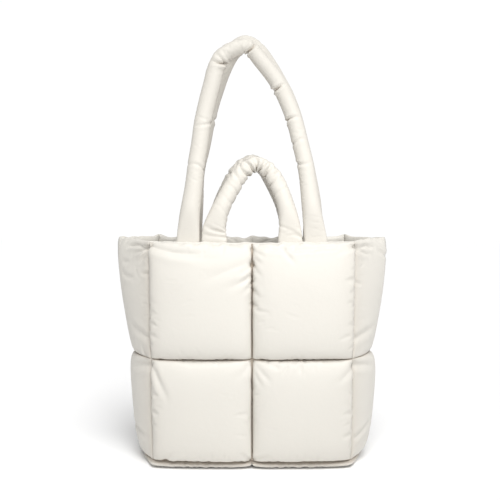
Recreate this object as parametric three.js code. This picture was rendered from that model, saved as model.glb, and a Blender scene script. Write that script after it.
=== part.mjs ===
// A puffer tote bag: five quilted panels sewn into an open bag, two padded shoulder straps
// and two padded top handles. Every panel is a filled wall, puffed between its seams.
// Millimetres, +Z up, the front face towards -Y. The origin lies on the plane that the bag
// stands on, under the middle of the body.
import * as THREE from "three";

// Body heights above the ground plane, along the seams.
const RIM_HEIGHT = 345;
const MID_SEAM_HEIGHT = 169;
const BASE_SEAM_HEIGHT = 12;
const HEM_HEIGHT = 8; // the flat band above the upper puffs
const RIM_DIP_FRONT = 2; // how far the front rim sags at its middle
const RIM_LIFT_BACK = 9; // how far the back corners of the rim stand above the front ones
const RIM_LIFT_TIP = 2; // extra lift of the rim at the middle of a gusset

// Body widths and depths between the corner seams, at the base, middle and rim.
const FACE_WIDTH_BASE = 300;
const FACE_WIDTH_MID = 303;
const FACE_WIDTH_RIM = 309;
const DEPTH_BASE = 130;
const DEPTH_MID = 130;
const DEPTH_RIM = 116;
const FACE_CAMBER = 4; // how far a face's middle stands out past its corner seams

// How far the middle of a gusset stands out sideways past the corner seams, and how sharply
// it is folded there: 2 is a round bow and 1 a straight-sided fold.
const GUSSET_BULGE_BASE = 20;
const GUSSET_BULGE_MID = 36;
const GUSSET_BULGE_RIM = 55;
const GUSSET_FOLD_BASE = 2;
const GUSSET_FOLD_MID = 1.75;
const GUSSET_FOLD_RIM = 1.3;

// Walls: thickness at a seam, and how far the filling stands out on each side of it.
const WALL = 3;
const FACE_PUFF = 24;
const GUSSET_PUFF_LOWER = 18;
const GUSSET_PUFF_UPPER = 11;
const LINING_PUFF = 8;
const FLOOR_LINING_PUFF = 5;
const BASE_OVERHANG = 10; // how far the base pad bulges past the front and back seams
const BASE_END_OVERHANG = 2; // the same past the gusset seams
const BASE_BULGE_REACH = 8; // how closely those bulges keep to the edges: larger is closer
const SEAM_GAP = 0.3; // clearance between neighbouring pieces

// Straps and handles: padded tubes, flattened at the feet that are sewn inside the rim.
const STRAP_WIDTH = 27;
const STRAP_DEPTH = 24;
const STRAP_SPACING = 194; // between the centres of a shoulder strap's feet
const STRAP_RISE = 300; // from the rim to the centre line's top
const STRAP_APEX_OFFSET = 17; // half the distance between the two straps' tops
const HANDLE_WIDTH = 26;
const HANDLE_DEPTH = 23;
const HANDLE_RISE = 119;
const HANDLE_APEX_OFFSET = 35;
const FOOT_WIDTH = 36;
const FOOT_THICKNESS = 4;
const FOOT_TUCK = 14; // how far a foot runs down inside the rim
const FOOT_GAP = 2; // between the feet of a strap and of the handle beside it
const FOOT_FLARE = 58; // length over which a flat foot grows into the round tube
const LEAN_CURVE = 1.3; // how the loops lean towards each other: 1 is straight

// Mesh fineness.
const PUFF_CELLS = 12;
const HEM_CELLS = 2;
const TUBE_SIDES = 12;
const STRAP_RINGS = 44;
const HANDLE_RINGS = 28;
const PUFF_ROUNDNESS = 0.55; // 1 is a round dome, and smaller is boxier
const GUSSET_ROUNDNESS = 0.8; // the same, across a gusset
const BASE_FLATNESS = 1.35; // how much of the base pad is pressed flat on the ground

const CLOTH = { color: 0xeae6dc, roughness: 0.62, metalness: 0 };

// Folds and dents pressed into the puffs. from and to are [across, up] shares of the panel,
// depth is a share of that puff's rise, and reach is the half width as a share of the panel.
const FRONT_FOLDS = [
  { from: [0.03, 0.42], to: [0.16, 0.3], depth: 0.16, reach: 0.045 },
  { from: [0.47, 0.44], to: [0.38, 0.36], depth: 0.12, reach: 0.04 },
  { from: [0.53, 0.44], to: [0.56, 0.3], depth: 0.14, reach: 0.04 },
  { from: [0.97, 0.42], to: [0.88, 0.34], depth: 0.14, reach: 0.04 },
  { from: [0.04, 0.95], to: [0.34, 0.9], depth: 0.22, reach: 0.04 },
  { from: [0.34, 0.9], to: [0.47, 0.94], depth: 0.16, reach: 0.04 },
  { from: [0.55, 0.95], to: [0.9, 0.92], depth: 0.18, reach: 0.04 },
  { from: [0.53, 0.92], to: [0.57, 0.7], depth: 0.12, reach: 0.04 },
];
const BACK_FOLDS = [
  { from: [0.04, 0.95], to: [0.3, 0.9], depth: 0.2, reach: 0.04 },
  { from: [0.55, 0.94], to: [0.93, 0.92], depth: 0.2, reach: 0.04 },
  { from: [0.47, 0.44], to: [0.4, 0.33], depth: 0.14, reach: 0.04 },
  { from: [0.97, 0.42], to: [0.85, 0.32], depth: 0.14, reach: 0.04 },
];
const LEFT_FOLDS = [
  { from: [0.98, 0.96], to: [0.6, 0.88], depth: 0.3, reach: 0.06 },
  { from: [0.98, 0.5], to: [0.6, 0.44], depth: 0.2, reach: 0.06 },
  { from: [0.95, 0.1], to: [0.55, 0.2], depth: 0.16, reach: 0.06 },
];
const RIGHT_FOLDS = [
  { from: [0.5, 0.93], to: [0.3, 0.86], depth: 0.25, reach: 0.06 },
  { from: [0.04, 0.43], to: [0.4, 0.42], depth: 0.2, reach: 0.06 },
  { from: [0.1, 0.55], to: [0.5, 0.62], depth: 0.14, reach: 0.06 },
];

// Centre lines seen from the front, foot to foot above the rim. across is a share of half the
// spacing of the feet, up a share of the rise. The tops are uneven because each loop was
// lifted by hand and creased where it bends.
const FRONT_STRAP_LINE = [
  { across: -0.97, up: 0.14 },
  { across: -0.92, up: 0.27 },
  { across: -0.85, up: 0.42 },
  { across: -0.78, up: 0.6 },
  { across: -0.69, up: 0.73 },
  { across: -0.6, up: 0.85 },
  { across: -0.5, up: 0.93 },
  { across: -0.34, up: 0.975 },
  { across: -0.1, up: 1 },
  { across: 0.06, up: 0.95 },
  { across: 0.22, up: 0.88 },
  { across: 0.37, up: 0.82 },
  { across: 0.5, up: 0.74 },
  { across: 0.62, up: 0.64 },
  { across: 0.74, up: 0.51 },
  { across: 0.84, up: 0.37 },
  { across: 0.92, up: 0.19 },
];
const BACK_STRAP_LINE = [
  { across: -0.97, up: 0.12 },
  { across: -0.95, up: 0.22 },
  { across: -0.92, up: 0.37 },
  { across: -0.84, up: 0.51 },
  { across: -0.73, up: 0.66 },
  { across: -0.62, up: 0.78 },
  { across: -0.48, up: 0.9 },
  { across: -0.33, up: 0.995 },
  { across: -0.11, up: 1.04 },
  { across: 0.1, up: 1.0 },
  { across: 0.28, up: 0.925 },
  { across: 0.44, up: 0.84 },
  { across: 0.57, up: 0.765 },
  { across: 0.7, up: 0.66 },
  { across: 0.82, up: 0.52 },
  { across: 0.92, up: 0.37 },
  { across: 0.99, up: 0.2 },
];
const FRONT_HANDLE_LINE = [
  { across: -0.98, up: 0.18 },
  { across: -0.85, up: 0.38 },
  { across: -0.66, up: 0.57 },
  { across: -0.44, up: 0.76 },
  { across: -0.2, up: 0.92 },
  { across: 0.1, up: 1 },
  { across: 0.38, up: 0.94 },
  { across: 0.6, up: 0.8 },
  { across: 0.78, up: 0.6 },
  { across: 0.92, up: 0.38 },
  { across: 0.99, up: 0.18 },
];
const BACK_HANDLE_LINE = [
  { across: -0.97, up: 0.22 },
  { across: -0.86, up: 0.42 },
  { across: -0.7, up: 0.65 },
  { across: -0.45, up: 0.88 },
  { across: -0.17, up: 1.03 },
  { across: 0.1, up: 1.05 },
  { across: 0.35, up: 0.96 },
  { across: 0.6, up: 0.76 },
  { across: 0.8, up: 0.53 },
  { across: 0.93, up: 0.3 },
  { across: 0.98, up: 0.15 },
];

// Creases across a tube. at is a share of its length, squeeze the share of its section lost
// there, and reach the half length as a share of the tube.
const FRONT_STRAP_CREASES = [
  { at: 0.18, squeeze: 0.1, reach: 0.012 },
  { at: 0.26, squeeze: 0.12, reach: 0.012 },
  { at: 0.425, squeeze: 0.16, reach: 0.014 },
  { at: 0.525, squeeze: 0.24, reach: 0.014 },
  { at: 0.635, squeeze: 0.14, reach: 0.012 },
  { at: 0.7, squeeze: 0.08, reach: 0.012 },
  { at: 0.83, squeeze: 0.1, reach: 0.012 },
];
const BACK_STRAP_CREASES = [
  { at: 0.33, squeeze: 0.12, reach: 0.012 },
  { at: 0.49, squeeze: 0.14, reach: 0.012 },
  { at: 0.72, squeeze: 0.12, reach: 0.012 },
];
const FRONT_HANDLE_CREASES = [
  { at: 0.44, squeeze: 0.1, reach: 0.025 },
  { at: 0.52, squeeze: 0.16, reach: 0.025 },
  { at: 0.6, squeeze: 0.1, reach: 0.025 },
];
const BACK_HANDLE_CREASES = [
  { at: 0.35, squeeze: 0.12, reach: 0.025 },
  { at: 0.6, squeeze: 0.12, reach: 0.025 },
];

const WALL_HEIGHT = RIM_HEIGHT - BASE_SEAM_HEIGHT;
const MID_SHARE = (MID_SEAM_HEIGHT - BASE_SEAM_HEIGHT) / WALL_HEIGHT;
const HEM_SHARE = (WALL_HEIGHT - HEM_HEIGHT) / WALL_HEIGHT;

// A size that changes from the base seam through the middle seam to the rim.
function alongWall(up, base, mid, rim) {
  if (up < MID_SHARE) return base + (mid - base) * (up / MID_SHARE);
  return mid + (rim - mid) * ((up - MID_SHARE) / (1 - MID_SHARE));
}

const halfWidth = (up) =>
  alongWall(up, FACE_WIDTH_BASE, FACE_WIDTH_MID, FACE_WIDTH_RIM) / 2;
const halfDepth = (up) => alongWall(up, DEPTH_BASE, DEPTH_MID, DEPTH_RIM) / 2;

// The height of a point of the wall, where the rim above it is lifted by rimLift.
function wallHeight(up, rimLift) {
  const aboveMiddle = Math.max(0, (up - MID_SHARE) / (1 - MID_SHARE));
  return BASE_SEAM_HEIGHT + up * WALL_HEIGHT + aboveMiddle * rimLift;
}

// How far a gusset stands out sideways at a place from -1, its front seam, to 1, its back one.
function gussetReach(place, up) {
  const bulge = alongWall(up, GUSSET_BULGE_BASE, GUSSET_BULGE_MID, GUSSET_BULGE_RIM);
  const fold = alongWall(up, GUSSET_FOLD_BASE, GUSSET_FOLD_MID, GUSSET_FOLD_RIM);
  return halfWidth(up) + bulge * (1 - Math.abs(place) ** fold);
}

// The seam surfaces of the four walls, as seen from outside: across runs from left to right
// and up from the base seam to the rim, both from 0 to 1.
function frontSheet(across, up) {
  const place = 2 * across - 1;
  const bow = 1 - place * place;
  return new THREE.Vector3(
    place * halfWidth(up),
    -halfDepth(up) - FACE_CAMBER * bow,
    wallHeight(up, -RIM_DIP_FRONT * bow),
  );
}

function backSheet(across, up) {
  const place = 2 * across - 1;
  const bow = 1 - place * place;
  return new THREE.Vector3(
    -place * halfWidth(up),
    halfDepth(up) + FACE_CAMBER * bow,
    wallHeight(up, RIM_LIFT_BACK * place * place),
  );
}

// side is -1 for the left gusset and 1 for the right one.
function gussetSheet(side) {
  return (across, up) => {
    const place = side * (2 * across - 1);
    const lift = (RIM_LIFT_BACK * (1 + place)) / 2 + RIM_LIFT_TIP * (1 - place * place);
    return new THREE.Vector3(
      side * gussetReach(place, up),
      place * halfDepth(up),
      wallHeight(up, lift),
    );
  };
}

// Grid lines between a list of bounds. Each has its share, how high a puff stands there from 0
// on a seam to 1 at its middle, and the number of the chamber that it lies in.
function stations(bounds, cells, roundness = PUFF_ROUNDNESS) {
  const list = [{ share: bounds[0], lift: 0, lining: 0, chamber: 0 }];
  for (let chamber = 0; chamber + 1 < bounds.length; chamber++) {
    const [from, to] = [bounds[chamber], bounds[chamber + 1]];
    for (let k = 1; k <= cells[chamber]; k++) {
      const angle = (Math.PI * k) / cells[chamber];
      const last = k === cells[chamber];
      const way = -Math.sign(Math.cos(angle)) * Math.abs(Math.cos(angle)) ** roundness;
      const inside = last ? 1 : (1 + way) / 2;
      list.push({
        share: from + (to - from) * inside,
        lift: last ? 0 : Math.sin(angle) ** roundness,
        lining: last ? 0 : Math.sin(Math.PI * inside) ** 2,
        chamber,
      });
    }
  }
  return list;
}

// The share of a puff's rise that folds take away at a place of the panel.
function foldDepth(folds, across, up) {
  let depth = 0;
  for (const fold of folds) {
    const [dx, dy] = [fold.to[0] - fold.from[0], fold.to[1] - fold.from[1]];
    const along = ((across - fold.from[0]) * dx + (up - fold.from[1]) * dy) / (dx * dx + dy * dy);
    const t = Math.min(1, Math.max(0, along));
    const gap = Math.hypot(across - fold.from[0] - t * dx, up - fold.from[1] - t * dy);
    depth = Math.max(depth, fold.depth * Math.exp(-((gap / fold.reach) ** 2)));
  }
  return depth;
}

function outwardNormal(sheet, across, up) {
  const step = 1e-3;
  const [a0, a1] = [Math.max(0, across - step), Math.min(1, across + step)];
  const [b0, b1] = [Math.max(0, up - step), Math.min(1, up + step)];
  const alongAcross = sheet(a1, up).sub(sheet(a0, up));
  const alongUp = sheet(across, b1).sub(sheet(across, b0));
  return alongAcross.cross(alongUp).normalize();
}

// Closes two grids of points into one shell. outer[i][j] is seen from outside with i to the
// right and j up, and inner has every second line of it, on the other side of the wall.
// Pushing a point's three numbers gives their count so far, and from that the point's number.
function closeShell(outer, inner) {
  const positions = [];
  const index = [];
  const numberOf = (grid) =>
    grid.map((line) => line.map((p) => positions.push(p.x, p.y, p.z) / 3 - 1));
  const faceGrid = (ids, facesOut) => {
    for (let i = 0; i + 1 < ids.length; i++)
      for (let j = 0; j + 1 < ids[i].length; j++) {
        const quad = [ids[i][j], ids[i + 1][j], ids[i + 1][j + 1], ids[i][j + 1]];
        if (!facesOut) quad.reverse();
        index.push(quad[0], quad[1], quad[2], quad[0], quad[2], quad[3]);
      }
  };
  const border = (ids) => {
    const [right, top] = [ids.length - 1, ids[0].length - 1];
    return [
      ...ids.slice(0, right).map((line) => line[0]),
      ...ids[right].slice(0, top),
      ...ids.slice(1).reverse().map((line) => line[top]),
      ...ids[0].slice(1).reverse(),
    ];
  };
  const outerIds = numberOf(outer);
  const innerIds = numberOf(inner);
  faceGrid(outerIds, true);
  faceGrid(innerIds, false);
  const [edge, lining] = [border(outerIds), border(innerIds)];
  for (let m = 0; m < lining.length; m++) {
    const [o0, o1, o2] = [2 * m, 2 * m + 1, (2 * m + 2) % edge.length].map((n) => edge[n]);
    const [i0, i1] = [lining[m], lining[(m + 1) % lining.length]];
    index.push(o1, o0, i0, o1, i0, i1, o2, o1, i1);
  }
  const shell = new THREE.BufferGeometry();
  shell.setAttribute("position", new THREE.Float32BufferAttribute(positions, 3));
  shell.setIndex(index);
  shell.computeVertexNormals();
  return shell;
}

const everySecond = (list) => list.filter((_, n) => n % 2 === 0);

// One upright wall of the bag. columns are the seams across it, rises[row][column] how far
// each puff stands out, and towardMiddle 1 for a panel that draws back from its corner seams
// towards the bag's middle, or -1 for a gusset, which draws back the other way.
function wallPanel({ sheet, columns, rises, folds, roundness, towardMiddle }) {
  const across = stations(columns, columns.slice(1).map(() => PUFF_CELLS), roundness);
  const up = stations([0, MID_SHARE, HEM_SHARE, 1], [PUFF_CELLS, PUFF_CELLS, HEM_CELLS]);
  const riseRows = [...rises, columns.slice(1).map(() => 0)];

  // through is the way from the lining to the outer cloth, level at the edges of the panel.
  const frameAt = (a, b) => {
    const point = sheet(a.share, b.share);
    const normal = outwardNormal(sheet, a.share, b.share);
    const onCorner = a.share === 0 || a.share === 1;
    const through = onCorner ? new THREE.Vector3(0, Math.sign(point.y), 0) : normal.clone();
    if (b.share === 0) through.setZ(0).normalize();
    if (onCorner) point.x -= (towardMiddle * Math.sign(point.x) * SEAM_GAP) / 2;
    if (b.share === 0) point.z += SEAM_GAP / 2;
    return { point, normal, through };
  };
  const outer = across.map((a) =>
    up.map((b) => {
      const { point, normal, through } = frameAt(a, b);
      const rise = riseRows[b.chamber][a.chamber] * a.lift * b.lift;
      const kept = 1 - foldDepth(folds, a.share, b.share);
      return point.addScaledVector(through, WALL / 2).addScaledVector(normal, rise * kept);
    }),
  );
  const inner = everySecond(across).map((a) =>
    everySecond(up).map((b) => {
      const { point, normal, through } = frameAt(a, b);
      const hemmed = b.share > HEM_SHARE ? 0 : 1;
      const rise = LINING_PUFF * a.lining * b.lining * hemmed;
      return point.addScaledVector(through, -WALL / 2).addScaledVector(normal, -rise);
    }),
  );
  return closeShell(outer, inner);
}

// The padded base: two puffs pressed flat on the ground, bulging past the seams above them.
// It is seen from below, with across running from left to right and up from back to front.
function basePanel() {
  const across = stations([0, 0.5, 1], [PUFF_CELLS, PUFF_CELLS]);
  const up = stations([0, 1], [PUFF_CELLS]);
  const seamZ = BASE_SEAM_HEIGHT - SEAM_GAP / 2;

  // edge is the way out of the panel at its border, and nothing inside it.
  const planAt = (a, b) => {
    const [sideways, forward] = [2 * a.share - 1, 2 * b.share - 1];
    const depth = halfDepth(0) + FACE_CAMBER * (1 - sideways * sideways);
    const onFace = b.share === 0 || b.share === 1;
    const onEnd = !onFace && (a.share === 0 || a.share === 1);
    const point = new THREE.Vector3(sideways * gussetReach(forward, 0), -forward * depth, seamZ);
    const edge = new THREE.Vector3(onEnd ? sideways : 0, onFace ? -forward : 0, 0);
    return { point, edge, sideways, forward, onBorder: onFace || onEnd };
  };
  const outer = across.map((a) =>
    up.map((b) => {
      const { point, edge, sideways, forward, onBorder } = planAt(a, b);
      const pressed = Math.min(1, BASE_FLATNESS * a.lift * b.lift);
      const bulge = 4 * pressed * (1 - pressed);
      point.addScaledVector(edge, WALL / 2);
      point.x += Math.sign(sideways) * BASE_END_OVERHANG * bulge * Math.abs(sideways) ** BASE_BULGE_REACH;
      point.y -= Math.sign(forward) * BASE_OVERHANG * bulge * Math.abs(forward) ** BASE_BULGE_REACH;
      point.z = (onBorder ? seamZ : seamZ - WALL) * (1 - pressed);
      return point;
    }),
  );
  const inner = everySecond(across).map((a) =>
    everySecond(up).map((b) => {
      const { point, edge } = planAt(a, b);
      point.addScaledVector(edge, -WALL / 2);
      point.z += FLOOR_LINING_PUFF * a.lining * b.lining;
      return point;
    }),
  );
  return closeShell(outer, inner);
}

// A tube through rings of points, each wound to the right about the way it runs, with flat ends.
function loftRings(rings) {
  const sides = rings[0].length;
  const positions = rings.flat().flatMap((p) => [p.x, p.y, p.z]);
  const index = [];
  for (let r = 0; r + 1 < rings.length; r++)
    for (let k = 0; k < sides; k++) {
      const [a, b] = [r * sides + k, r * sides + ((k + 1) % sides)];
      index.push(a, b, b + sides, a, b + sides, a + sides);
    }
  const last = (rings.length - 1) * sides;
  for (let k = 1; k + 1 < sides; k++) {
    index.push(0, k + 1, k);
    index.push(last, last + k, last + k + 1);
  }
  const tube = new THREE.BufferGeometry();
  tube.setAttribute("position", new THREE.Float32BufferAttribute(positions, 3));
  tube.setIndex(index);
  tube.computeVertexNormals();
  return tube;
}

// How far from the middle of the bag a face's seam surface lies at a place given by x and z.
function faceDepthAt(x, z) {
  const up = Math.min(1, (z - BASE_SEAM_HEIGHT) / WALL_HEIGHT);
  const place = x / halfWidth(up);
  return halfDepth(up) + FACE_CAMBER * (1 - place * place);
}

// A padded loop from foot to foot. face is -1 for one sewn inside the front and 1 for the back.
function paddedLoop({ line, creases, face, spacing, rise, apexOffset, width, depth, rings }) {
  const footInset = WALL / 2 + SEAM_GAP + FOOT_THICKNESS / 2;
  const place = (across, up) => {
    const [x, z] = [(across * spacing) / 2, RIM_HEIGHT + up * rise];
    const seated = faceDepthAt(x, z) - footInset;
    const leaning = Math.max(0, Math.min(1, up)) ** LEAN_CURVE;
    return new THREE.Vector3(x, face * THREE.MathUtils.lerp(seated, apexOffset, leaning), z);
  };
  const tuck = FOOT_TUCK / rise;
  const path = new THREE.CatmullRomCurve3(
    [
      place(-1, -tuck),
      place(-1, 0),
      ...line.map((row) => place(row.across, row.up)),
      place(1, 0),
      place(1, -tuck),
    ],
    false,
    "centripetal",
  );
  const length = path.getLength();
  const list = [];
  for (let r = 0; r <= rings; r++) {
    const share = r / rings;
    const centre = path.getPointAt(share);
    const tangent = path.getTangentAt(share);
    const inward = new THREE.Vector3(0, 1, 0).cross(tangent).normalize();
    const through = tangent.clone().cross(inward);
    const fromFoot = Math.min(share, 1 - share) * length - FOOT_TUCK;
    const round = THREE.MathUtils.smoothstep(fromFoot, 0, FOOT_FLARE);
    const squeeze = creases.reduce(
      (most, row) => Math.max(most, row.squeeze * Math.exp(-(((share - row.at) / row.reach) ** 2))),
      0,
    );
    const halfAcross = (THREE.MathUtils.lerp(FOOT_WIDTH, width, round) / 2) * (1 - squeeze);
    const halfThrough = (THREE.MathUtils.lerp(FOOT_THICKNESS, depth, round) / 2) * (1 - squeeze);
    list.push(
      Array.from({ length: TUBE_SIDES }, (_, k) => {
        const angle = (2 * Math.PI * k) / TUBE_SIDES;
        const point = centre
          .clone()
          .addScaledVector(inward, halfAcross * Math.cos(angle))
          .addScaledVector(through, halfThrough * Math.sin(angle));
        const camber = faceDepthAt(point.x, point.z) - faceDepthAt(centre.x, centre.z);
        point.y += face * camber * (1 - round);
        return point;
      }),
    );
  }
  return loftRings(list);
}

function piece(name, geometry) {
  const mesh = new THREE.Mesh(geometry, new THREE.MeshStandardMaterial(CLOTH));
  mesh.name = name;
  return mesh;
}

const facePanel = (sheet, folds) =>
  wallPanel({
    sheet,
    folds,
    columns: [0, 0.5, 1],
    rises: [
      [FACE_PUFF, FACE_PUFF],
      [FACE_PUFF, FACE_PUFF],
    ],
    roundness: PUFF_ROUNDNESS,
    towardMiddle: 1,
  });

const gussetPanel = (side, folds) =>
  wallPanel({
    sheet: gussetSheet(side),
    folds,
    columns: [0, 1],
    rises: [[GUSSET_PUFF_LOWER], [GUSSET_PUFF_UPPER]],
    roundness: GUSSET_ROUNDNESS,
    towardMiddle: -1,
  });

const shoulderStrap = (line, creases, face) =>
  paddedLoop({
    line,
    creases,
    face,
    spacing: STRAP_SPACING,
    rise: STRAP_RISE,
    apexOffset: STRAP_APEX_OFFSET,
    width: STRAP_WIDTH,
    depth: STRAP_DEPTH,
    rings: STRAP_RINGS,
  });

const topHandle = (line, creases, face) =>
  paddedLoop({
    line,
    creases,
    face,
    spacing: STRAP_SPACING - 2 * (FOOT_WIDTH + FOOT_GAP),
    rise: HANDLE_RISE,
    apexOffset: HANDLE_APEX_OFFSET,
    width: HANDLE_WIDTH,
    depth: HANDLE_DEPTH,
    rings: HANDLE_RINGS,
  });

const FRONT = -1;
const BACK = 1;

const bag = new THREE.Group();
bag.add(
  piece("front_panel", facePanel(frontSheet, FRONT_FOLDS)),
  piece("back_panel", facePanel(backSheet, BACK_FOLDS)),
  piece("left_gusset", gussetPanel(-1, LEFT_FOLDS)),
  piece("right_gusset", gussetPanel(1, RIGHT_FOLDS)),
  piece("base_panel", basePanel()),
  piece("front_shoulder_strap", shoulderStrap(FRONT_STRAP_LINE, FRONT_STRAP_CREASES, FRONT)),
  piece("back_shoulder_strap", shoulderStrap(BACK_STRAP_LINE, BACK_STRAP_CREASES, BACK)),
  piece("front_top_handle", topHandle(FRONT_HANDLE_LINE, FRONT_HANDLE_CREASES, FRONT)),
  piece("back_top_handle", topHandle(BACK_HANDLE_LINE, BACK_HANDLE_CREASES, BACK)),
);

export default bag;
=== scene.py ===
"""Puffer tote bag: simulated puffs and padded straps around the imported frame. Metres, +Z up."""
import math
from collections import namedtuple

import bpy
import numpy as np
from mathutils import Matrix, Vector


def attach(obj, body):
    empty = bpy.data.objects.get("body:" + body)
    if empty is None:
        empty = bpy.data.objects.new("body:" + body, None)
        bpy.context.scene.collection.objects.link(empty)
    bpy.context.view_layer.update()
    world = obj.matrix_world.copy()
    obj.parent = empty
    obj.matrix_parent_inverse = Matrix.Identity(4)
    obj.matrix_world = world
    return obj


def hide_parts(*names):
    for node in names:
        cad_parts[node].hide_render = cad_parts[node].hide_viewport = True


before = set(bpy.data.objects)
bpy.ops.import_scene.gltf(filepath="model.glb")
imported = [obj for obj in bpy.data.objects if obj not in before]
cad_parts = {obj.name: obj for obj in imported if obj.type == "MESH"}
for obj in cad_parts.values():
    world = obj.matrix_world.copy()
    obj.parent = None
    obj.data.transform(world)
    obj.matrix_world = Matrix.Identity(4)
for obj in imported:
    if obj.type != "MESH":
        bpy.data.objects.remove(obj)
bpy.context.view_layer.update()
MM = 0.001
# A length beyond all of the bag, and one too small to matter.
FAR = 1.0
TINY = 1e-12

# The photograph's camera, a little higher than the bag's rim and looking slightly down.
IMAGE_SIZE = 500
FOCAL_PIXELS = 733
SENSOR_WIDTH = 36
CAMERA_PLACE = (-0.003, -1.165, 0.411)
CAMERA_PITCH_DEG = 4

# Sizes of the bag along its seams, close to those of the frame's solids. Where a size has three
# values, they are at the base seam, the middle seam and the rim.
RIM_HEIGHT = 345 * MM
MID_SEAM_HEIGHT = 169 * MM
BASE_SEAM_HEIGHT = 12 * MM
RIM_DIP_FRONT = 2 * MM
RIM_LIFT_BACK = 1 * MM
RIM_LIFT_TIP = 3 * MM
RIM_TUFT_LIFT = 4 * MM
RIM_TUFT_REACH = 8 * MM
FACE_WIDTHS = (300 * MM, 303 * MM, 309 * MM)
DEPTHS = (130 * MM, 130 * MM, 116 * MM)
FACE_CAMBER = 4 * MM
GUSSET_BULGES = (20 * MM, 31 * MM, 56 * MM)
GUSSET_FOLDS = (2, 1.75, 0.9)
GUSSET_CLOTH_WIDTH = 150 * MM
WALL = 3 * MM
SEAM_GAP = 0.3 * MM
WALL_HEIGHT = RIM_HEIGHT - BASE_SEAM_HEIGHT
MID_SHARE = (MID_SEAM_HEIGHT - BASE_SEAM_HEIGHT) / WALL_HEIGHT

# How far the filling stands out, and how boxy each side of a puff is: 1 is a quarter ellipse.
FACE_RISES = (24 * MM, 24 * MM)
LEFT_RISES = (13 * MM, 8 * MM)
RIGHT_RISES = (17 * MM, 9 * MM)
LINING_RISE = 8 * MM
FLOOR_LINING_RISE = 5 * MM
BASE_RISE = 12 * MM
FACE_ROUNDNESS = ((0.8, 0.66), (0.66, 0.8))
GUSSET_ROUNDNESS = ((1.5, 1.5),)
FACE_UP_ROUNDNESS = ((0.72, 0.66), (0.62, 0.8))
GUSSET_UP_ROUNDNESS = ((0.72, 0.66), (0.62, 1.4))
BASE_ROUNDNESS = (0.6, 0.6)
LINING_ROUNDNESS = 1.2
SIDE_OVERHANG = 2 * MM
CORNER_PINCH = 0.55
CORNER_REACH = 20 * MM
RIM_ROLL = 2 * MM
RIM_EDGE = 2.2 * MM
RIM_WAVE_LENGTH = 16 * MM
RIM_WAVE_FROM = 0.93
RIM_WAVE_FLATNESS = 0.5
BASE_OVERHANG = 10 * MM
BASE_END_OVERHANG = 2 * MM
BASE_BULGE_REACH = 8
BASE_FLATNESS = 1.35

# Cloth: grids of points joined by threads that keep their length, and held out by filling.
WALL_CELL = 2.2 * MM
TUBE_CELL = 1.6 * MM
THREADS = (
    # step on the grid, and how firmly such a thread keeps its length
    ((1, 0), 1.0),
    ((0, 1), 1.0),
    ((1, 1), 0.5),
    ((1, -1), 0.5),
    ((2, 0), 0.12),
    ((0, 2), 0.12),
    ((4, 0), 0.06),
    ((0, 4), 0.06),
)
DAMPING = 0.86
SETTLE_STEPS = 160
LINING_STEPS = 90
FACE_SLACK = {"cloth": 0.012, "seam": 0.03}
GUSSET_SLACK = {"cloth": 0.004, "seam": 0.014}
LINING_SLACK = {"cloth": 0.008, "seam": 0.008}
BASE_SLACK = {"cloth": 0.012, "seam": 0.06}
SEAM_SLACK_REACH = 24 * MM
TUBE_SLACK_ROUND = 0.006
WALL_PATCHES = {"length": 50 * MM, "change": 0.7, "least": 0.1}
TUBE_PATCHES = {"length": 30 * MM, "change": 0.8, "least": 0.15}
WALL_ROUGHNESS = 0.3 * MM
WALL_WRINKLE_LENGTH = 16 * MM
TUBE_ROUGHNESS = 0.28 * MM
TUBE_WRINKLE_LENGTH = 7 * MM
TUBE_WRINKLE_SLANT = 0.5
TUBE_WRINKLE_CURL = 0.3
FREE_DEPTH = 0.8 * MM
FREE_HEIGHT = 1.5 * MM
TUBE_FREE_DEPTH = 0.5 * MM
TUBE_FREE_HEIGHT = 0.8 * MM
BEND_FREE_DEPTH = 3 * MM
LEAST_INSIDE_BEND = 0.1
RING_CENTRING = 0.3
FILLING_FIRMNESS = 0.08
FILLING_PUSH = 0.003 * MM
CONTACT_GAP = 0.4 * MM
CENTRE_GAP = 0.55 * MM

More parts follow.
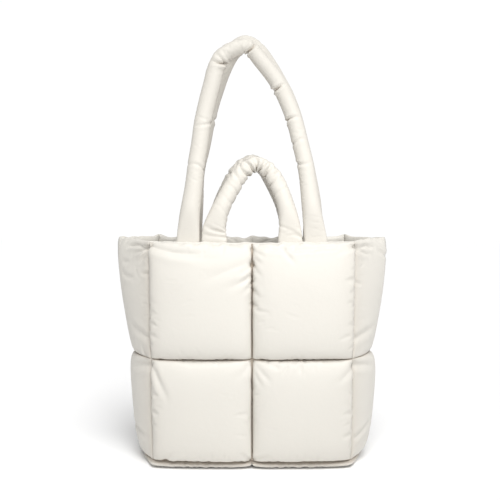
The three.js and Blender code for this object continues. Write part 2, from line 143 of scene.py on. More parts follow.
# Folds in the puffs. start and end are shares of the wall across and up it, depth and width are
# in mm, and bow bends the fold to one side by a share of its length. A fold is 3 mm wide and
# straight unless its row says so. The lips beside it are in shares of its depth and width.
Fold = namedtuple("Fold", "start end depth width bow", defaults=[3, 0])
FOLD_LIP = {"height": 0.35, "place": 2.1, "reach": 1.2}
FOLD_LEAD_IN = 0.15
FOLD_FADE_OUT = 0.5
FRONT_FOLDS = (
    Fold((0, 0.99), (0.32, 0.965), depth=4, width=5, bow=0.07),
    Fold((0.12, 0.945), (0.38, 0.94), depth=1, width=5, bow=0.04),
    Fold((0.5, 0.915), (0.23, 0.81), depth=1.6, width=6, bow=0.04),
    Fold((0.5, 0.85), (0.36, 0.79), depth=1.2, width=5),
    Fold((0.5, 0.9), (0.42, 0.85), depth=1.4),
    Fold((0.5, 0.87), (0.43, 0.81), depth=1.4),
    Fold((0.5, 0.83), (0.44, 0.76), depth=1.2),
    Fold((0.5, 0.975), (0.57, 0.935), depth=2.6),
    Fold((0.5, 0.96), (0.55, 0.9), depth=1.8),
    Fold((0.5, 0.905), (0.555, 0.84), depth=1.5),
    Fold((0.5, 0.8), (0.545, 0.745), depth=1.4),
    Fold((0.5, 0.73), (0.55, 0.68), depth=1.4),
    Fold((0.55, 0.978), (0.92, 0.976), depth=2.2, bow=0.02),
    Fold((1, 0.982), (0.68, 0.974), depth=2.2),
    Fold((1, 0.98), (0.88, 0.945), depth=2),
    Fold((0.655, 0.965), (0.72, 0.895), depth=1.2),
    Fold((0, 0.45), (0.1, 0.26), depth=2, width=4, bow=-0.05),
    Fold((0.03, 0.42), (0.07, 0.3), depth=1.2),
    Fold((0.5, 0.465), (0.42, 0.38), depth=1.4, width=4),
    Fold((0.5, 0.465), (0.61, 0.36), depth=1.8, width=3.5),
    Fold((0.5, 0.44), (0.56, 0.34), depth=1.6),
    Fold((0.58, 0.46), (0.65, 0.43), depth=1.6),
    Fold((1, 0.44), (0.91, 0.36), depth=2.2, width=4),
    Fold((0.5, 0), (0.43, 0.06), depth=2),
    Fold((0.5, 0.01), (0.6, 0.045), depth=2.2),
    Fold((0.06, 0), (0.12, 0.06), depth=1.8, width=4),
)
BACK_FOLDS = (
    Fold((0, 0.985), (0.3, 0.95), depth=2.6, width=7, bow=0.06),
    Fold((0.5, 0.95), (0.66, 0.87), depth=1.6, width=7, bow=0.05),
    Fold((0, 0.45), (0.11, 0.3), depth=2, width=4.5),
    Fold((0.5, 0.47), (0.41, 0.37), depth=1.6, width=5),
    Fold((0.5, 0.46), (0.57, 0.34), depth=1.6, width=4),
    Fold((1, 0.46), (0.9, 0.34), depth=1.8, width=5),
    Fold((0.5, 0.02), (0.44, 0.1), depth=1.6, width=4),
)
LEFT_FOLDS = (
    Fold((1, 0.98), (0.6, 0.975), depth=4.2),
    Fold((1, 0.975), (0.72, 0.935), depth=4),
    Fold((1, 0.965), (0.85, 0.89), depth=3.2),
    Fold((0.6, 0.895), (0.72, 0.9), depth=1.6),
    Fold((0.6, 0.84), (0.8, 0.828), depth=1.8, width=3.5, bow=0.04),
    Fold((1, 0.86), (0.88, 0.85), depth=2, width=2.5),
    Fold((1, 0.56), (0.62, 0.62), depth=2.2, width=5),
    Fold((1, 0.44), (0.62, 0.4), depth=3, width=5, bow=0.05),
    Fold((0.55, 0.13), (1, 0.09), depth=2.4, width=4),
    Fold((0, 0.97), (0.35, 0.9), depth=2.4, width=4),
    Fold((0, 0.44), (0.34, 0.38), depth=2.4, width=5),
)
RIGHT_FOLDS = (
    Fold((0, 0.98), (0.36, 0.965), depth=3.8),
    Fold((0, 0.97), (0.24, 0.93), depth=3.2),
    Fold((0.5, 0.92), (0.32, 0.955), depth=2),
    Fold((0, 0.82), (0.1, 0.8), depth=1.6, width=2.5),
    Fold((0, 0.56), (0.4, 0.61), depth=2.2, width=5),
    Fold((0, 0.44), (0.38, 0.4), depth=3, width=5, bow=-0.05),
    Fold((0.05, 0.1), (0.45, 0.18), depth=2, width=4),
    Fold((1, 0.97), (0.64, 0.9), depth=2.4, width=4),
    Fold((1, 0.44), (0.7, 0.38), depth=2.4, width=5),
)

# Padded loops, as knots on their middle lines: across is a share of half the loop's spacing, up
# is a share of its rise above the rim, and girth is a share of its width, 1 unless it is given.
Knot = namedtuple("Knot", "across up girth", defaults=[1])
# FOOT_HELD_BELOW is a share of the tuck, and FOOT_CREASES is a share of a crease's depth.
FOOT_WIDTH = 36 * MM
FOOT_THICKNESS = 4 * MM
FOOT_TUCK = 14 * MM
FOOT_GAP = 2 * MM
FOOT_FLARE = 58 * MM
FOOT_BOXINESS = 0.75
FOOT_HELD_BELOW = 0.2
FOOT_CREASES = 0.5
STRAP = {
    "spacing": 194 * MM, "rise": 300 * MM, "apex": 17 * MM, "width": 26.5 * MM,
    "depth": 24 * MM, "taper": 110 * MM, "slack": 0.01, "gather": 0.02,
}
HANDLE = {
    "spacing": STRAP["spacing"] - 2 * (FOOT_WIDTH + FOOT_GAP), "rise": 119 * MM,
    "apex": 35 * MM, "width": 27 * MM, "depth": 24 * MM, "taper": 70 * MM,
    "slack": 0.016, "gather": 0.28,
}
LEAN_CURVE = 1.3
SLIGHT_BEND = 1 / (120 * MM)
SHARP_BEND = 1 / (40 * MM)
SMOOTH_RINGS = 11
SMOOTH_BEND_RINGS = 13
CURVE_STEPS = 40
FRONT_STRAP_LINE = (
    Knot(-1, 0),
    Knot(-0.97, 0.14),
    Knot(-0.915, 0.27),
    Knot(-0.87, 0.395),
    Knot(-0.82, 0.495),
    Knot(-0.775, 0.605),
    Knot(-0.7, 0.715, girth=1.02),
    Knot(-0.625, 0.81, girth=1.03),
    Knot(-0.575, 0.88),
    Knot(-0.49, 0.94, girth=0.95),
    Knot(-0.365, 0.973, girth=0.92),
    Knot(-0.235, 0.992, girth=0.9),
    Knot(-0.095, 1, girth=0.8),
    Knot(0.01, 0.978, girth=0.84),
    Knot(0.135, 0.927, girth=0.9),
    Knot(0.235, 0.888, girth=0.92),
    Knot(0.365, 0.831, girth=0.93),
    Knot(0.47, 0.773, girth=0.93),
    Knot(0.575, 0.697, girth=0.93),
    Knot(0.665, 0.617, girth=0.93),
    Knot(0.76, 0.494, girth=0.93),
    Knot(0.845, 0.371, girth=0.94),
    Knot(0.92, 0.186, girth=0.96),
    Knot(1, 0),
)
BACK_STRAP_LINE = (
    Knot(-1.04, 0),
    Knot(-1, 0.12),
    Knot(-0.97, 0.22),
    Knot(-0.93, 0.37),
    Knot(-0.83, 0.51),
    Knot(-0.73, 0.66),
    Knot(-0.62, 0.78),
    Knot(-0.48, 0.9),
    Knot(-0.32, 0.99, girth=0.98),
    Knot(-0.11, 1.04, girth=0.93),
    Knot(0.1, 1, girth=0.95),
    Knot(0.28, 0.925, girth=0.98),
    Knot(0.44, 0.84),
    Knot(0.57, 0.765),
    Knot(0.7, 0.66),
    Knot(0.82, 0.52),
    Knot(0.94, 0.37),
    Knot(1.03, 0.2),
    Knot(1.06, 0),
)
FRONT_HANDLE_LINE = (
    Knot(-0.97, 0, girth=1.1),
    Knot(-0.96, 0.18, girth=1.1),
    Knot(-0.84, 0.38, girth=1.04),
    Knot(-0.66, 0.57),
    Knot(-0.44, 0.76, girth=0.97),
    Knot(-0.2, 0.92, girth=0.88),
    Knot(0.1, 1, girth=0.82),
    Knot(0.38, 0.94, girth=0.88),
    Knot(0.6, 0.8, girth=0.94),
    Knot(0.78, 0.6, girth=0.98),
    Knot(0.91, 0.38, girth=1.02),
    Knot(0.97, 0.18, girth=1.06),
    Knot(0.98, 0, girth=1.07),
)
BACK_HANDLE_LINE = (
    Knot(-1.08, 0),
    Knot(-1.03, 0.22),
    Knot(-0.9, 0.42),
    Knot(-0.7, 0.65),
    Knot(-0.45, 0.88, girth=0.98),
    Knot(-0.17, 1.03, girth=0.9),
    Knot(0.1, 1.05, girth=0.88),
    Knot(0.35, 0.96, girth=0.92),
    Knot(0.6, 0.76, girth=0.97),
    Knot(0.83, 0.53),
    Knot(0.99, 0.3),
    Knot(1.06, 0.15),
    Knot(1.09, 0),
)

# Creases across a tube. at is a share of its length, and depth, reach and slant are in mm. side
# is 1 where the crease is on the inside of the loop, -1 on the outside, and 0 all round. A
# crease has a reach of 2 mm and no slant unless its row says so, and lips as a fold has.
Crease = namedtuple("Crease", "at depth side reach slant", defaults=[2, 0])
CREASE_LIP = {"height": 0.25, "place": 2.4, "reach": 1.4}
CREASE_WANDER = 1.5 * MM
CREASE_WANDER_TURN = 40
CREASE_FADE = 1.1
FRONT_STRAP_CREASES = (
    Crease(at=0.188, depth=2.2, side=0.4, slant=3),
    Crease(at=0.279, depth=2.2, side=0.9, slant=-4),
    Crease(at=0.294, depth=1, side=0.6, slant=4),
    Crease(at=0.424, depth=7, reach=2.4, side=0.9, slant=-3),
    Crease(at=0.436, depth=4.5, side=1, slant=3),
    Crease(at=0.517, depth=11, side=0.3),
    Crease(at=0.627, depth=7, side=1, slant=2),
    Crease(at=0.702, depth=4.2, side=1, slant=-1),
    Crease(at=0.755, depth=2.4, side=0.8),
    Crease(at=0.806, depth=2.2, side=1, slant=2),
)
BACK_STRAP_CREASES = (
    Crease(at=0.3, depth=2.4, reach=2.5, side=1, slant=1),
    Crease(at=0.48, depth=4, reach=2.5, side=1),
    Crease(at=0.7, depth=2.4, reach=2.5, side=1, slant=-2),
)
FRONT_HANDLE_CREASES = (
    Crease(at=0.075, depth=3, side=0.6),
    Crease(at=0.105, depth=2.4, side=0.8, slant=4),
    Crease(at=0.21, depth=0.9, side=0.6, slant=5),
    Crease(at=0.27, depth=1.1, side=0.8, slant=5),
    Crease(at=0.325, depth=1.5, side=0.9, slant=4),
    Crease(at=0.38, depth=2.2, side=1, slant=3),
    Crease(at=0.43, depth=3, side=1, slant=2),
    Crease(at=0.47, depth=3.8, side=1, slant=1),
    Crease(at=0.505, depth=4.8, side=1),
    Crease(at=0.54, depth=4, side=1, slant=-1),
    Crease(at=0.58, depth=3.6, side=1, slant=-3),
    Crease(at=0.63, depth=3, reach=2.2, side=0.9, slant=-5),
    Crease(at=0.7, depth=1.6, side=0.6, slant=-4),
    Crease(at=0.9, depth=3, side=0.3, slant=11),
)
BACK_HANDLE_CREASES = (
    Crease(at=0.3, depth=2, side=0, slant=3),
    Crease(at=0.38, depth=3, side=-0.8),
    Crease(at=0.47, depth=3, side=0.6),
    Crease(at=0.53, depth=3, side=0.6),
)
TUBE_SEAM_DEPTH = 1.2 * MM
TUBE_SEAM_WIDTH = 2 * MM

# Finish of the nylon, with the painted shade of its seams and creases. Colours are linear, and a
# larger scale makes a finer texture.
SHELL_COLOUR = (0.68, 0.655, 0.602)
STRAP_COLOUR = (0.668, 0.639, 0.582)
SHEEN = {"Sheen Weight": 0.12, "Sheen Roughness": 0.5, "Specular IOR Level": 0.35}
# Painted shade: the dark brown that cloth in seams, creases and gaps between touching puffs is
# mixed towards, standing in for the shadow there, and how strongly, varying in patches.
SEAM_PAINTED_SHADE_COLOUR = (0.27, 0.185, 0.11)
SEAM_PAINTED_SHADE = 0.9
SEAM_PAINTED_SHADE_LEAST = 0.6
SEAM_PAINTED_SHADE_PATCHES = {"scale": 60, "detail": 2}
DULL_SHARE = 0.94
DULL_MOST = 0.6
DULL_PATCHES = {"scale": 14, "detail": 3}
ROUGHNESS_LEAST = 0.5
ROUGHNESS_MOST = 0.66
ROUGH_PATCHES = {"scale": 35, "detail": 2}
SMALL_CREASES = {"scale": 75, "detail": 2}
SMALL_CREASE_DEPTH = 0.35 * MM
GRAIN = {"scale": 260, "detail": 1}
GRAIN_DEPTH = 0.05 * MM
WEAVE_SCALE = 390
WEAVE_DEPTH = 0.02 * MM

# Painted shade: how strongly the shadow down in a seam is painted into the cloth beside it, and
# over what reach in mm, and how far from where two puffs touch the cloth between them is painted
# as dark as the seam, for the shadow in that gap. Tubes get painted shade along their seam and in
# deep creases.
NO_PAINTED_SHADE = {"strength": 0, "reach": 1}
CENTRE_PAINTED_SHADE = {"strength": 1, "reach": 3}
CORNER_PAINTED_SHADE = {"strength": 0.27, "reach": 11}
GUSSET_PAINTED_SHADE = {"strength": 0.45, "reach": 4}
BASE_PAINTED_SHADE = {"strength": 0.8, "reach": 3}
TOUCH_PAINTED_SHADE_REACH = 0.6 * MM
TUBE_PAINTED_SHADE = {"strength": 0.7, "reach": 2.5}
CREASE_PAINTED_SHADE = 0.8
CREASE_PAINTED_SHADE_FROM = 1.2 * MM
CREASE_PAINTED_SHADE_FULL = 4.5 * MM

# Studio, with places in metres and the sun's direction from it to the bag.
SKY_FILL = 0.3
SKY_SEEN = 1.02
FLOOR_REACH = 6
FLOOR_WHITE = 0.97
FLOOR_ROUGHNESS = 0.9
SOFTBOX = {"direction": (-0.22, 1, -1.65), "softness_deg": 40, "strength": 2.88}
KEY = {"place": (0.45, -1.45, 0.75), "aim": (0.02, 0, 0.41), "half_angle_deg": 15, "watts": 38}
KEY_BLEND = 0.9
KEY_RADIUS = 0.25


def stack(x, y, z):
    return np.stack(np.broadcast_arrays(x, y, z), axis=-1).astype(float)


def unit(vectors):
    return vectors / (np.linalg.norm(vectors, axis=-1, keepdims=True) + TINY)


def signed_power(value, power):
    return np.sign(value) * np.abs(value) ** power


def smooth_step(value, low, high):
    t = np.clip((value - low) / (high - low), 0, 1)
    return t * t * (3 - 2 * t)


def bell(distance, reach):
    return np.exp(-((distance / reach) ** 2))


def notch(distance, reach):
    """Like a bell, with a sharper top."""
    sharpness = 1.3
    return np.exp(-(np.abs(distance / reach) ** sharpness))


def lipped_notch(distance, reach, lip):
    """A notch with a low lip along each side of it."""
    from_lip = np.abs(distance) - lip["place"] * reach
    return notch(distance, reach) - lip["height"] * bell(from_lip, lip["reach"] * reach)


def soft_noise(places, scale, seed):
    """Smooth noise, mostly between -2 and 2, that changes over the given length."""
    random = np.random.default_rng(seed)
    waves = 14
    shortest, longest = 0.8, 1.6
    total = np.zeros(places.shape[:-1])
    for _ in range(waves):
        wave = random.normal(size=3)
        wave *= 2 * math.pi / (scale * random.uniform(shortest, longest)) / np.linalg.norm(wave)
        total += np.sin(places @ wave + random.uniform(0, 2 * math.pi))
    return total / math.sqrt(waves / 2)


def patchy(places, patches, seed):
    """Shares around 1 that change from patch to patch of the cloth."""
    noise = soft_noise(places, patches["length"], seed)
    return np.maximum(patches["least"], 1 + patches["change"] * noise)


# The walls' middle surfaces, as shares across and up each wall.
def along_wall(up, sizes):
    """A size that changes from the base seam through the middle seam to the rim."""
    base, middle, rim = sizes
    lower = base + (middle - base) * up / MID_SHARE
    upper = middle + (rim - middle) * (up - MID_SHARE) / (1 - MID_SHARE)
    return np.where(up < MID_SHARE, lower, upper)


def wall_height(up, rim_lift):
    above_middle = np.maximum(0, (up - MID_SHARE) / (1 - MID_SHARE))
    return BASE_SEAM_HEIGHT + up * WALL_HEIGHT + above_middle * rim_lift


def gusset_reach(place, up):
    bulge = along_wall(up, GUSSET_BULGES)
    fold = along_wall(up, GUSSET_FOLDS)
    return along_wall(up, FACE_WIDTHS) / 2 + bulge * (1 - np.abs(place) ** fold)


def front_sheet(across, up):
    place = 2 * across - 1
    bow = 1 - place**2
    return stack(
        place * along_wall(up, FACE_WIDTHS) / 2,
        -along_wall(up, DEPTHS) / 2 - FACE_CAMBER * bow,
        wall_height(up, -RIM_DIP_FRONT * bow),
    )


def back_tuft(from_corner):
    """How far the cloth gathered at a back corner stands above the rim beside it."""
    return RIM_TUFT_LIFT * bell(from_corner, RIM_TUFT_REACH)


def back_sheet(across, up):
    place = 2 * across - 1
    half_width = along_wall(up, FACE_WIDTHS) / 2
    lift = RIM_LIFT_BACK * place**2 + back_tuft((1 - np.abs(place)) * half_width)
    return stack(
        -place * half_width,
        along_wall(up, DEPTHS) / 2 + FACE_CAMBER * (1 - place**2),
        wall_height(up, lift),
    )


def gusset_sheet(side):
    def sheet(across, up):
        place = side * (2 * across - 1)
        half_depth = along_wall(up, DEPTHS) / 2
        lift = RIM_LIFT_BACK * ((1 + place) / 2) ** 3 + RIM_LIFT_TIP * (1 - place**2)
        lift = lift + back_tuft((1 - place) * half_depth)
        return stack(side * gusset_reach(place, up), place * half_depth, wall_height(up, lift))

    return sheet


def sheet_normals(sheet, across, up):
    step = 1e-3
    low_across = np.maximum(0, across - step)
    high_across = np.minimum(1, across + step)
    low_up = np.maximum(0, up - step)
    high_up = np.minimum(1, up + step)
    along_across = sheet(high_across, up) - sheet(low_across, up)
    along_up = sheet(across, high_up) - sheet(across, low_up)
    return unit(np.cross(along_across, along_up))


def grid_normals(grid, wrap=False):
    """Outward normals of a grid whose rows run across it and whose columns run up it."""
    along = np.gradient(grid, axis=0)
    if wrap:
        over = np.roll(grid, -1, axis=1) - np.roll(grid, 1, axis=1)
    else:
        over = np.gradient(grid, axis=1)
    return unit(np.cross(along, over))


# The cloth solver.
def thread_pairs(shape, step, wrap):
    """Pairs of point numbers one step apart on a grid, in two sets that take turns."""
    rows, columns = np.meshgrid(np.arange(shape[0]), np.arange(shape[1]), indexing="ij")
    far_rows = rows + step[0]
    far_columns = columns + step[1]
    inside = far_rows < shape[0]
    if wrap:
        far_columns = far_columns % shape[1]
    else:
        inside &= (far_columns >= 0) & (far_columns < shape[1])
    turn = rows // step[0] if step[0] else columns // step[1]
    near = (rows * shape[1] + columns)[inside]
    far = (far_rows * shape[1] + far_columns)[inside]
    odd = (turn[inside] % 2).astype(bool)
    return (near[~odd], far[~odd]), (near[odd], far[odd])


def lace(target, slack_along, slack_across, pinned, wrap):
    """Threads over a target shape. The slacks are shares of spare length along each grid way."""
    shape = target.shape[:2]
    flat = target.reshape(-1, 3)
    slack_along = slack_along.reshape(-1)
    slack_across = slack_across.reshape(-1)
    free = (~pinned).reshape(-1).astype(float)
    threads = []
    for step, firmness in THREADS:
        along = abs(step[0]) > 0
        across = abs(step[1]) > 0
        for near, far in thread_pairs(shape, step, wrap):
            spare = along * (slack_along[near] + slack_along[far])
            spare = spare + across * (slack_across[near] + slack_across[far])
            spare = spare / (2 * (along + across))
            length = np.linalg.norm(flat[far] - flat[near], axis=1) * (1 + spare)
            mobility = np.maximum(free[near] + free[far], 1)
            share_near = (firmness * free[near] / mobility)[:, None]
            share_far = (firmness * free[far] / mobility)[:, None]
            threads.append((near, far, length, share_near, share_far))
    return threads


def settle(start, threads, hold, pinned, steps):
    """Lets the cloth move until its threads, its filling and what it touches agree."""
    points = start.reshape(-1, 3).copy()
    fixed = pinned.reshape(-1)
    pins = points[fixed].copy()
    speed = np.zeros_like(points)
    for _ in range(steps):
        before = points.copy()
        points += speed
        hold(points)
        for near, far, length, share_near, share_far in threads:
            gap = points[far] - points[near]
            span = np.sqrt(np.einsum("ij,ij->i", gap, gap)) + TINY
            gap *= (1 - length / span)[:, None]
            points[near] += share_near * gap
            points[far] -= share_far * gap
        points[fixed] = pins
        speed = (points - before) * DAMPING
    hold(points)
    points[fixed] = pins
    return points.reshape(start.shape)


def filling_of(target, normals, free_depth, free_height, hold_down):
    """A rule that pushes cloth out to its filling, and back where it stands too far off it."""
    target = target.reshape(-1, 3)
    normals = normals.reshape(-1, 3)

    def push(cloth):
        height = np.einsum("ij,ij->i", cloth - target, normals)
        move = FILLING_PUSH + FILLING_FIRMNESS * np.maximum(-free_depth - height, 0)
        move -= hold_down * FILLING_FIRMNESS * np.maximum(height - free_height, 0)
        cloth += move[:, None] * normals

    return push


def puff_up(target, facing, from_seam, seams, contact, slack, steps, seed):
    """Settles cloth with a little spare length over its filling, with its seams held. facing
    is 1 where the target's own normals point away from the filling, and -1 where they don't."""
    normals = facing * grid_normals(target)
    spread = patchy(target, WALL_PATCHES, seed)
    near_rows = np.exp(-from_seam[1] / SEAM_SLACK_REACH)
    near_columns = np.exp(-from_seam[0] / SEAM_SLACK_REACH)
    slack_along = (slack["cloth"] + slack["seam"] * near_rows) * spread
    slack_across = (slack["cloth"] + slack["seam"] * near_columns) * spread
    threads = lace(target, slack_along, slack_across, seams, wrap=False)
    roughness = WALL_ROUGHNESS * soft_noise(target, WALL_WRINKLE_LENGTH, seed + 1)
    start = target + normals * (roughness * ~seams)[..., None]
    fill_out = filling_of(target, normals, FREE_DEPTH, FREE_HEIGHT, hold_down=1)

    def hold(cloth):
        fill_out(cloth)
        contact(cloth)

    return settle(start, threads, hold, seams, steps)


# Quilted walls.
PuffLines = namedtuple("PuffLines", "share lift lining puff seam from_seam")
Wall = namedtuple(
    "Wall",
    "name node sheet side columns column_tints row_tints width rises roundness up_roundness slack"
    " folds wave seed",
)


def puff_lines(bounds, length, rises, roundness):
    """Lines over a row of puffs, evenly spaced over the cloth: the share of the wall where each
    lies, how high its puff stands there from 0 to 1, the same for the lining, the number of
    the puff, the number of the nearest seam and the way over the cloth to it."""
    rows = [(bounds[0], 0.0, 0.0, 0, 0, 0.0)]
    quarter_degrees = 721
    for number, rise in enumerate(rises):
        start = bounds[number]
        width = bounds[number + 1] - start
        angle = np.linspace(0, math.pi, quarter_degrees)
        power = np.where(angle < math.pi / 2, roundness[number][0], roundness[number][1])
        way = (1 - signed_power(np.cos(angle), power)) / 2
        lift = np.abs(np.sin(angle)) ** power
        steps = np.hypot(np.diff(way) * width * length, np.diff(lift) * rise)
        travelled = np.concatenate([[0], np.cumsum(steps)])
        count = 2 * round(travelled[-1] / WALL_CELL / 2)
        for k in range(1, count + 1):
            reached = travelled[-1] * k / count
            share = np.interp(reached, travelled, way)
            height = 0.0 if k == count else np.interp(reached, travelled, lift)
            lining = math.sin(math.pi * share) ** LINING_ROUNDNESS
            seam = number if 2 * k < count else number + 1
            from_seam = min(reached, travelled[-1] - reached)
            rows.append((start + width * share, height, lining, number, seam, from_seam))
    return PuffLines(*(np.array(column) for column in zip(*rows)))


def painted_seam_shade(lines, tints):
    """How much painted shade the shadow in the seam nearest to each line puts on the cloth there.
    """
    strength = np.array([tint["strength"] for tint in tints])[lines.seam]
    reach = np.array([tint["reach"] * MM for tint in tints])[lines.seam]
    return strength * np.exp(-lines.from_seam / reach)


def painted_touch_shade(from_middle, gap, tint):
    """How much shade is painted on the cloth beside the place where two puffs touch, for the shadow
    in the gap between them.
    """
    return tint["strength"] * np.exp(-np.maximum(np.abs(from_middle) - gap, 0) / TOUCH_PAINTED_SHADE_REACH)


def fold_depth(folds, across, up, width):
    """How deep the folds press into the cloth."""
    depth = np.zeros(np.broadcast_shapes(across.shape, up.shape))
    for fold in folds:
        x0, z0 = fold.start
        x1, z1 = fold.end
        span = np.array([(x1 - x0) * width, (z1 - z0) * WALL_HEIGHT])
        length = np.linalg.norm(span)
        x = (across - x0) * width
        z = (up - z0) * WALL_HEIGHT
        along = (x * span[0] + z * span[1]) / length**2
        aside = (x * span[1] - z * span[0]) / length
        aside = aside - fold.bow * length * 4 * along * (1 - along)
        ends = np.minimum(along / FOLD_LEAD_IN + 1, (1 - along) / FOLD_FADE_OUT)
        profile = lipped_notch(aside, fold.width * MM, FOLD_LIP)
        depth += fold.depth * MM * smooth_step(ends, 0, 1) * profile
    return depth


def contact_of(wall, points, across, up):
    """A rule that keeps each puff of a wall on its own side of the seams round it."""
    a = across.share[:, None]
    b = up.share[None, :]
    low = np.full(points.shape, -FAR)
    high = np.full(points.shape, FAR)
    if wall.side == 0:
        inside = across.lift[:, None] > 0
        high[..., 0] = np.where(inside & (points[..., 0] < 0), -CENTRE_GAP, high[..., 0])
        low[..., 0] = np.where(inside & (points[..., 0] > 0), CENTRE_GAP, low[..., 0])
    for number, (bottom, top) in enumerate(((0, MID_SHARE), (MID_SHARE, 1))):
        inside = (up.puff == number) & (up.lift > 0)
        level = np.ones((1, inside.sum()))
        low[:, inside, 2] = wall.sheet(a, bottom * level)[..., 2] + CONTACT_GAP
        high[:, inside, 2] = wall.sheet(a, top * level)[..., 2] - CONTACT_GAP
    high[:, up.puff == 1, 2] += RIM_ROLL
    low = low.reshape(-1, 3)
    high = high.reshape(-1, 3)
    inward = 1 if wall.side == 0 else -1
    sign_x = np.sign(points[..., 0]).reshape(-1)
    sign_y = np.sign(points[..., 1]).reshape(-1)
    half_width = (along_wall(b, FACE_WIDTHS) / 2 + 0 * a).reshape(-1)
    half_depth = (along_wall(b, DEPTHS) / 2 + 0 * a).reshape(-1)

    def contact(cloth):
        np.clip(cloth, low, high, out=cloth)
        outward = sign_x * cloth[:, 0] - half_width
        forward = sign_y * cloth[:, 1] - half_depth
        over = np.maximum(inward * (outward - forward) + CONTACT_GAP, 0) / 2
        cloth[:, 0] -= inward * sign_x * over
        cloth[:, 1] += inward * sign_y * over

    return contact


def wall_cloth(wall):
    """The outer and the inner cloth of one wall, and the shade painted on the outer one for the
    shadow in its seams and where its puffs touch.
    """
    across_rises = [wall.rises[0]] * (len(wall.columns) - 1)
    across = puff_lines(wall.columns, wall.width, across_rises, wall.roundness)
    up = puff_lines((0, MID_SHARE, 1), WALL_HEIGHT, wall.rises, wall.up_roundness)
    a = across.share[:, None]
    b = up.share[None, :]
    points = wall.sheet(a, b)
    normals = sheet_normals(wall.sheet, a, b)
    through = normals.copy()
    through[[0, -1]] = stack(0, np.sign(points[[0, -1], :, 1]), 0)
    through[:, 0, 2] = 0
    through = unit(through)
    outward = np.sign(points[..., 0])
    inward = 1 if wall.side == 0 else -1
    points[[0, -1], :, 0] -= inward * outward[[0, -1]] * SEAM_GAP / 2
    points[:, 0, 2] += SEAM_GAP / 2
    wavy = smooth_step(b, RIM_WAVE_FROM, 1) * np.sin(math.pi * a) ** RIM_WAVE_FLATNESS
    points[..., 2] += wall.wave * wavy * soft_noise(points, RIM_WAVE_LENGTH, wall.seed + 5)

    from_seam = (across.from_seam[:, None] + 0 * b, up.from_seam[None, :] + 0 * a)
    pinch = 1 - CORNER_PINCH * bell(np.hypot(*from_seam), CORNER_REACH)
    lift = across.lift[:, None] * up.lift[None, :]
    seams = lift == 0
    rise = np.array(wall.rises)[up.puff][None, :] * lift * pinch
    target = points + through * WALL / 2 + normals * rise[..., None]
    if wall.side == 0:
        beside_corner = np.abs(2 * a - 1) > 0.5
        bulge = 4 * across.lift[:, None] * (1 - across.lift[:, None]) * up.lift[None, :]
        target[..., 0] += outward * SIDE_OVERHANG * bulge * beside_corner
    pressed = fold_depth(wall.folds, a, b, wall.width) * ~seams
    target -= grid_normals(target) * pressed[..., None]
    contact = contact_of(wall, points, across, up)
    outer = puff_up(target, 1, from_seam, seams, contact, wall.slack, SETTLE_STEPS, wall.seed)

    lining_lift = across.lining[:, None] * up.lining[None, :]
    lining = points - through * WALL / 2 - normals * (LINING_RISE * lining_lift)[..., None]
    inner = puff_up(
        lining, -1, from_seam, seams, lambda cloth: None, LINING_SLACK, LINING_STEPS, wall.seed + 2
    )
    # Painted shade: the shadow in the seams and in the gaps where puffs touch, put into the cloth's
    # colour.
    shades = [
        painted_seam_shade(across, wall.column_tints)[:, None] + 0 * b,
        painted_seam_shade(up, wall.row_tints)[None, :] + 0 * a,
    ]
    for seam, tint in zip((0, MID_SHARE), wall.row_tints):
        from_middle = outer[..., 2] - wall.sheet(a, seam + 0 * b)[..., 2]
        shades.append(painted_touch_shade(from_middle, CONTACT_GAP, tint))
    if wall.side == 0:
        shades.append(painted_touch_shade(outer[..., 0], CENTRE_GAP, CENTRE_PAINTED_SHADE))
    return outer, inner, np.maximum.reduce(shades)


